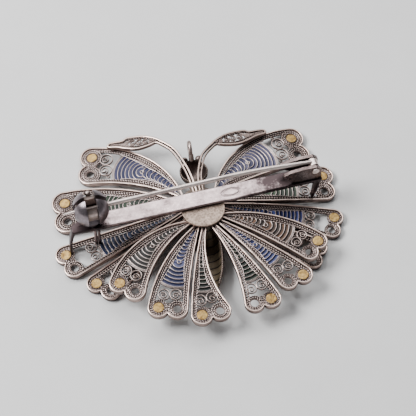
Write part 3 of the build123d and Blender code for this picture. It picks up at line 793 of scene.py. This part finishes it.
# Painted shade: the bracket's faces are coloured dark.
BRACKET_METAL = sheet_metal(
    "bracket_metal", (0.26, 0.20, 0.19), (0.10, 0.075, 0.072), (0.020, 0.014, 0.013),
    (0.20, 0.42),
)
DISC_METAL = sheet_metal(
    "disc_metal", (0.60, 0.47, 0.385), (0.39, 0.30, 0.245), (0.13, 0.093, 0.073),
    (0.42, 0.66), (0.46, 0.60), 0.75, 0.0, 0.00020,
)
CATCH_METAL = sheet_metal(
    "catch_metal", (0.34, 0.29, 0.31), (0.16, 0.138, 0.148), (0.028, 0.023, 0.026),
    (0.26, 0.42),
)
PIN_METAL = sheet_metal(
    "pin_metal", (0.95, 0.83, 0.78), (0.78, 0.66, 0.62), (0.30, 0.22, 0.20),
    (0.34, 0.52),
)
HUB_METAL = sheet_metal(
    "hub_metal", (0.20, 0.155, 0.125), (0.09, 0.068, 0.054), (0.022, 0.016, 0.013),
    (0.5, 0.7), metallic=0.4,
)
SHELL_METAL = sheet_metal(
    "shell_metal", (0.17, 0.125, 0.075), (0.075, 0.052, 0.030), (0.016, 0.011, 0.008),
    (0.55, 0.75), metallic=0.2,
)
HEAD_METAL = sheet_metal(
    "head_metal", (0.24, 0.19, 0.175), (0.11, 0.085, 0.078), (0.030, 0.022, 0.020),
    (0.36, 0.58),
)
LOOP_METAL = sheet_metal(
    "loop_metal", (0.50, 0.41, 0.38), (0.25, 0.20, 0.18), (0.06, 0.046, 0.042),
    (0.30, 0.50),
)

# ---------------------------------------------------------------- build
gilt = Pile()
for (layer, side), rows in WINGS.items():
    for number, row in enumerate(rows, 1):
        hand = 1 if side == "right" else -1
        petal = Petal(f"{layer}_{side}_{number}", row, hand)
        dice = np.random.default_rng(100 * number + 10 * len(layer) + hand)
        rim_piece(petal, dice)
        lace_piece(petal, dice)
        enamel_piece(petal, dice)
        button = Pile()
        gilt_button(button, petal, dice)
        verts = button.verts[0] * (1, hand, 1)
        faces = button.faces if hand > 0 else [face[::-1] for face in button.faces]
        gilt.add(petal.place(verts), faces, button.tones[0])
gilt.piece("gilt_buttons", GILT, "gilt", ("gilt_discs",))


# ---------------------------------------------------------------- antennae
def smooth(points, step=0.12):
    """Curve through a few points, evenly divided."""
    points = np.asarray(points, float)
    padded = np.vstack([2 * points[0] - points[1], points, 2 * points[-1] - points[-2]])
    share = np.linspace(0, 1, 16, endpoint=False)[:, None]
    runs = []
    for p, q, r, t in zip(padded, padded[1:], padded[2:], padded[3:]):
        runs.append(0.5 * (2 * q + (r - p) * share + (2 * p - 5 * q + 4 * r - t) * share**2
                           + (3 * q - p - 3 * r + t) * share**3))
    return resample(np.vstack([*runs, points[-1:]]), step)


LEAF_TOP = (
    (0.00, 0.30), (0.14, 0.80), (0.32, 1.16), (0.60, 1.12), (0.70, 0.62), (0.88, 0.50), (0.965, 0.36),
)
LEAF_FOOT = (
    (1.0, 0.0), (0.955, -0.30), (0.80, -0.42), (0.62, -0.86), (0.40, -1.16), (0.18, -0.80), (0.03, -0.26),
)


def antenna(name, stem, leaf, material, side):
    """Two flat wires side by side, opening into a leaf that the outer one borders."""
    base, tip = np.array(leaf[0]), np.array(leaf[1])
    length = np.linalg.norm(tip - base)
    along = (tip - base) / length
    lift = np.array((0, 0, 1.0)) - along * along[2]
    lift /= np.linalg.norm(lift)
    out = side * np.cross(lift, along)

    def on_leaf(points, height=0.0):
        points = np.asarray(points, float)
        return base + points[:, :1] * along + points[:, 1:2] * out + height * lift

    path = smooth(stem)
    ahead = np.gradient(path, axis=0)
    aside = side * np.cross((0, 0, 1.0), ahead)
    aside /= np.linalg.norm(aside, axis=1, keepdims=True)
    top = smooth([(x * length, y) for x, y in LEAF_TOP + LEAF_FOOT], 0.10)
    metal = Pile()
    keep = path[:-4]
    outer = np.vstack([keep + 0.24 * aside[:-4], on_leaf(top[2:-2])])
    # Painted light and shade as well as wear: the flat wire's top is toned brightest and its flanks darker.
    crown = np.array([0.35, 0.5, 0.8, 1, 1, 1, 0.6, 0.3, 0.4, 0.9, 0.9, 0.6])
    sweep(metal, resample(outer, 0.12), ribbon(0.32, 0.60), tones=crown[None, :])
    inner = np.vstack([keep - 0.26 * aside[:-4], on_leaf([(0.35, -0.30)])])
    sweep(metal, resample(inner, 0.12), ribbon(0.24, 0.50), tones=crown[None, :] * 0.9)
    grain(metal, keep[len(keep) // 2], 0.2, 0.2, keep[len(keep) // 2][2])
    metal.piece(f"antenna_wire_{name}", material, f"antenna_{name}", (f"antenna_{name}",))
    return length, on_leaf


def leaf_lace(pile, length, on_leaf):
    """Scrolls in the leaf's body, twisted wires along its edges and fanned wires towards its tip."""
    foot = smooth([(x * length, y) for x, y in LEAF_FOOT[1:]], 0.1)
    top = smooth([(x * length, y) for x, y in LEAF_TOP[:-2]], 0.1)
    for row in range(2):
        step = 0.26 + 0.25 * row
        rope(pile, on_leaf(foot * (1 - 0.02 * row, 1) + (0, step)), 0.26, 0.42, hand=1 - 2 * row, tone=1.1)
    rope(pile, on_leaf(top - (0, 0.26)), 0.26, 0.42, hand=-1, tone=1.1)
    for share, size, rise in (
        (0.13, 0.32, 0.12), (0.24, 0.44, 0.14), (0.36, 0.50, 0.20), (0.49, 0.48, 0.18),
    ):
        centre = (share * length, rise)
        wire(pile, on_leaf(spiral(centre, size, 1.7, 2.4, 1, 0.25)), 0.14, 0.40, 0.07)
        wire(pile, on_leaf(circle(centre, size, 30)), 0.12, 0.38, 0.08, True)
    for k in range(16):
        x = (0.22 + 0.030 * k) * length
        low = -4 * 0.95 * (x / length) * (1 - x / length)
        wire(pile, on_leaf([(x - 0.14, low + 0.28), (x + 0.24, low + 0.86)]), 0.10, 0.34, 0.1, tone=1.1)
    for k in range(10):
        x = (0.57 + 0.014 * k) * length
        wire(pile, on_leaf([(x - 0.3, 0.78 - 0.05 * k), (x + 0.35, -0.22)]), 0.11, 0.36, 0.1, tone=1.1)
    for k in range(10):
        x = (0.70 + 0.026 * k) * length
        wire(pile, on_leaf([(x, 0.36 - 0.012 * k), (x + 0.22, -0.26 + 0.01 * k)]), 0.11, 0.34, 0.1, tone=1.1)


leaves = Pile()
for name, stem, leaf, metal, side in (
    ("left", LEFT_STEM, LEFT_LEAF, SILVER_EDGE, -1), ("right", RIGHT_STEM, RIGHT_LEAF, EDGE_SHADED, 1)
):
    leaf_lace(leaves, *antenna(name, stem, leaf, metal, side))
leaves.piece("antenna_filigree", FILIGREE, "silver_filigree", ("antenna_lace",))


# ---------------------------------------------------------------- disc and bar
def on_bar(verts):
    """From the bar's own axes (X to the hinge, Y to the head) to the hub's."""
    b = radians(BAR_YAW)
    verts = np.asarray(verts, float)
    x, y = verts[:, 0], verts[:, 1]
    place = (-BAR_OFFSET * sin(b), BAR_OFFSET * cos(b))
    return np.stack([place[0] + x * cos(b) - y * sin(b), place[1] + x * sin(b) + y * cos(b), verts[:, 2]], 1)


def backing_disc():
    dice = np.random.default_rng(7)
    low, fine = rough(dice, 9, 1.5), rough(dice, 14, 6.0)
    radii = np.linspace(0.08, 3.22, 40)
    profile = np.vstack([
        np.stack([radii, np.full(40, 5.56)], 1),
        [(3.30, 5.60), (3.36, 5.60), (3.38, 5.52), (3.38, 5.24), (3.34, 5.14), (3.26, 5.12)],
        np.stack([radii[::-4], np.full(10, 5.12)], 1),
    ])

    def lumps(ring, profile, sides):
        height = 0.020 * low(ring[:, 0], ring[:, 1]) + 0.014 * fine(ring[:, 0], ring[:, 1])
        return np.stack([0 * height, 0 * height, np.where(ring[:, 2] > 5.4, height, 0)], 1)

    disc = Pile()
    turned(disc, (0, 0, 0), profile, 96, lumps=lumps)
    disc.piece("backing_disc_cast", DISC_METAL, "backing_disc", ("backing_disc",))


PUNCH = (4.85, -0.1, 1.45, 0.66)      # middle, and half sizes, of the blank oval struck into the bar


def bar_strip(pile):
    """Rolled strip with softened edges, a struck blank oval, and small dents."""
    dice = np.random.default_rng(11)
    wave, dents = rough(dice, 8, 0.9), rough(dice, 16, 3.2)
    stations = np.arange(BAR_LEFT, BAR_RIGHT + 0.01, 0.10)
    sides = np.linspace(-1, 1, 33)
    loops = []
    for s in stations:
        near_end = min(s - BAR_LEFT, BAR_RIGHT - s)
        tuck = 0.12 * max(0.0, 1 - near_end / 0.3) ** 2
        bulge = 0.16 * np.exp(-(((s - PUNCH[0]) / 1.3) ** 2))
        cut = (BAR_WIDTH - END_WIDTH) * np.clip((TAPER_S - s) / (TAPER_S - BAR_LEFT), 0, 1)
        y = sides * (BAR_WIDTH / 2 - tuck) - cut * (sides + 1) / 2
        y = np.where(y < 0, y - bulge * (-sides) ** 2, y)
        edge = np.clip((1 - np.abs(sides)) / 0.09, 0, 1)
        z = TOP_Z - 0.09 * (1 - edge) ** 2
        oval_at = np.hypot((s - PUNCH[0]) / PUNCH[2], (y - PUNCH[1]) / PUNCH[3])
        z = z - 0.085 * np.exp(-(((oval_at - 1.0) / 0.13) ** 2)) + 0.05 * np.exp(-((oval_at / 0.75) ** 4))
        z = z + 0.008 * wave(s, y) - 0.012 * np.clip(dents(s, y) - 1.2, 0, 2)
        upper = np.stack([np.full(33, s), y, np.minimum(z, TOP_Z + 0.03)], 1)
        lower = upper[::-4] * (1, 0.97, 0) + (0, 0, BAR_Z)
        loops.append(np.vstack([upper[::-1], lower[::-1] * (1, 1, 1)]))
    loops = np.stack(loops)
    rows, cols = loops.shape[:2]
    faces = [face[::-1] for face in lattice(rows, cols, False, True)]
    faces += [list(range(cols)), list(range((rows - 1) * cols, rows * cols))[::-1]]
    along = loops[..., 0].reshape(-1)
    # Painted shade: the strip's tone falls to dark at its left end, under the catch, and again towards its
    # right end.
    tones = 1 - 0.95 * np.clip((-14.2 - along) / 2.5, 0, 1) - 1.15 * np.clip((along - 5.5) / 8.5, 0, 1)
    pile.add(on_bar(loops.reshape(-1, 3)), faces, tones)


def bar_leg(pile, top_s, top_side, top_width, foot_s, foot_side, foot_width, foot_z):
    """Bar end folded down to a petal, narrowing to its foot."""
    share = np.linspace(0, 1, 24)
    bow = 0.22 * np.sin(pi * share) * np.sign(top_s)
    path = np.stack([
        top_s + (foot_s - top_s) * share + bow,
        top_side + (foot_side - top_side) * share**1.3,
        TOP_Z - 0.06 + (foot_z - TOP_Z + 0.06) * share,
    ], 1)
    width = top_width - 0.1 + (foot_width - top_width + 0.1) * share**0.8
    thick = 0.50 - 0.18 * share
    sections = np.stack([ribbon(w, t, 0.10) for w, t in zip(width, thick)])
    place = on_bar(path)
    b = radians(BAR_YAW)
    # Painted shade: the folded legs are toned almost black.
    sweep(pile, place, sections, up=(cos(b), sin(b), 0), tones=0.05)


def bar_piece():
    bar = Pile()
    bar_strip(bar)
    bar_leg(bar, BAR_LEFT + 0.25, (END_WIDTH - BAR_WIDTH) / 2, END_WIDTH, -21.05, -1.25, 0.9, 0.98)
    bar_leg(bar, BAR_RIGHT - 0.25, 0.0, BAR_WIDTH, 17.9, -0.95, 1.1, 1.50)
    for side in (-1, 1):
        s = -16.7 + side * 0.28
        rod = [(s, -1.0, z) for z in np.linspace(1.50, BAR_Z + 0.05, 12)]
        sweep(bar, on_bar(rod), oval(0.48, 0.48, 12), up=(1.0, 0, 0), tones=0.4)
    bar.piece("pin_bar_strip", BAR_METAL, "pin_bar", ("pin_bar",))


backing_disc()
bar_piece()


# ---------------------------------------------------------------- body and head
def body_edges():
    """Twisted wires along the open edges of the abdomen and head, and ribs inside the abdomen."""
    trim = Pile()
    spine = np.array(ABDOMEN_SHAPE)
    ys = np.linspace(spine[0, 0] - 0.2, spine[-1, 0] + 0.1, 60)
    curve = smooth(spine, 0.2)
    order = np.argsort(curve[:, 0])
    radii = np.interp(ys, curve[order, 0], curve[order, 1])
    for side in (-1, 1):
        edge = np.stack([side * (radii - 0.17), ys, np.full(len(ys), HUB_FOOT + 0.10)], 1)
        rope(trim, edge, 0.34, 0.34, 0.34, side)
    for y in np.arange(-1.6, -11.2, -1.35):
        size = np.interp(y, curve[order, 0], curve[order, 1]) - SHELL_WALL - 0.02
        turn = np.linspace(pi, 2 * pi, 24)
        rib = np.stack([size * np.cos(turn), np.full(24, y), HUB_FOOT + size * np.sin(turn)], 1)
        sweep(trim, resample(rib, 0.12), oval(0.16, 0.20, 8), up=(0, 1.0, 0), tones=0.45)
    for y in np.arange(-2.4, -11.0, -1.35):
        size = np.interp(y, curve[order, 0], curve[order, 1]) + 0.03
        turn = np.linspace(pi + 0.12, 2 * pi - 0.12, 40)
        band = np.stack([size * np.cos(turn), np.full(40, y), HUB_FOOT + size * np.sin(turn)], 1)
        band = resample(band, 0.10)
        twist = 0.5 + 0.5 * np.cos(np.arange(len(band)) * 1.5)
        sweep(
            trim, band, oval(0.26, 0.22, 8), scale=0.8 + 0.35 * twist, up=(0, 1.0, 0),
            tones=0.3 + 0.7 * twist[:, None],
        )
    ring = circle(HEAD[:2], HEAD_RADIUS - 0.17, 80)
    rope(trim, with_z(ring, HEAD[2] + 0.08), 0.34, 0.34, 0.34, closed=True)
    trim.piece("body_edge_wires", DARK_SILVER, "silver_filigree", ())


body_edges()


def keep(node, material, bevel, highlight_edge_material=None, segments=2):
    """A turned or folded part shown as modelled, its edges eased and its metal finished; a second material
    on the eased edges paints a highlight.
    """
    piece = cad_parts[node]
    piece.data.materials.clear()
    piece.data.materials.append(material)
    if highlight_edge_material:
        piece.data.materials.append(highlight_edge_material)
    if bevel:
        ease = piece.modifiers.new("ease", "BEVEL")
        ease.width = bevel * MM
        ease.segments = segments
        ease.limit_method = "ANGLE"
        ease.angle_limit = radians(35)
        ease.harden_normals = True
        ease.material = 1 if highlight_edge_material else -1


for node, *finish in (
    # Painted highlight: the bracket's eased edges take the bright pin metal.
    ("hinge_bracket", BRACKET_METAL, 0.10, PIN_METAL),
    ("hinge_rivet", PIN_METAL, 0.06),
    ("pin_stem", PIN_METAL, 0.0),
    ("catch_housing", CATCH_METAL, 0.04),
    ("catch_rotor", LOOP_METAL, 0.05),
    ("centre_hub", HUB_METAL, 0.06),
    ("thorax", HUB_METAL, 0.0),
    ("abdomen", SHELL_METAL, 0.04),
    ("head", HEAD_METAL, 0.05),
    ("head_loop", LOOP_METAL, 0.0),
):
    keep(node, *finish)


# ---------------------------------------------------------------- floor, light and camera
def floor_plane():
    mesh = bpy.data.meshes.new("floor")
    half = 0.6
    corners = [(-half, -half, 0), (half, -half, 0), (half, half, 0), (-half, half, 0)]
    mesh.from_pydata(corners, [], [(0, 1, 2, 3)])
    floor = bpy.data.objects.new("floor", mesh)
    bpy.context.scene.collection.objects.link(floor)
    material, tree, shader = nodes_of("floor_paper")
    link(tree, ramp(tree, noise(tree, 60.0), (0.3, 0.70), (0.7, 0.74)), shader.inputs["Base Color"])
    shader.inputs["Roughness"].default_value = 0.8
    mesh.materials.append(material)


def soft_light(name, place, target, size, power, colour=(1, 1, 1)):
    data = bpy.data.lights.new(name, "AREA")
    data.shape = "RECTANGLE"
    data.size, data.size_y = size
    data.energy = power
    data.color = colour
    lamp = bpy.data.objects.new(name, data)
    bpy.context.scene.collection.objects.link(lamp)
    lamp.location = place
    lamp.rotation_euler = (Vector(target) - Vector(place)).to_track_quat("-Z", "Y").to_euler()


floor_plane()
soft_light("key", (-0.26, 0.06, 0.30), (0, 0, 0), (0.20, 0.16), 2.6)
soft_light("overhead", (0.02, 0.26, 0.36), (0, 0, 0), (0.50, 0.26), 1.9)
world = bpy.data.worlds.new("studio")
world.use_nodes = True
world.node_tree.nodes["Background"].inputs["Color"].default_value = (0.78, 0.80, 0.84, 1)
world.node_tree.nodes["Background"].inputs["Strength"].default_value = 0.16
bpy.context.scene.world = world

camera_data = bpy.data.cameras.new("camera")
camera_data.lens = 129.8
camera_data.sensor_width = 36
camera_data.clip_start, camera_data.clip_end = 0.01, 5
camera = bpy.data.objects.new("camera", camera_data)
bpy.context.scene.collection.objects.link(camera)
camera.location = (-0.019957, -0.127217, 0.197787)
back = Vector((-0.0923, -0.5515, 0.8290))
camera.rotation_euler = (-back).to_track_quat("-Z", "Y").to_euler()
bpy.context.scene.camera = camera
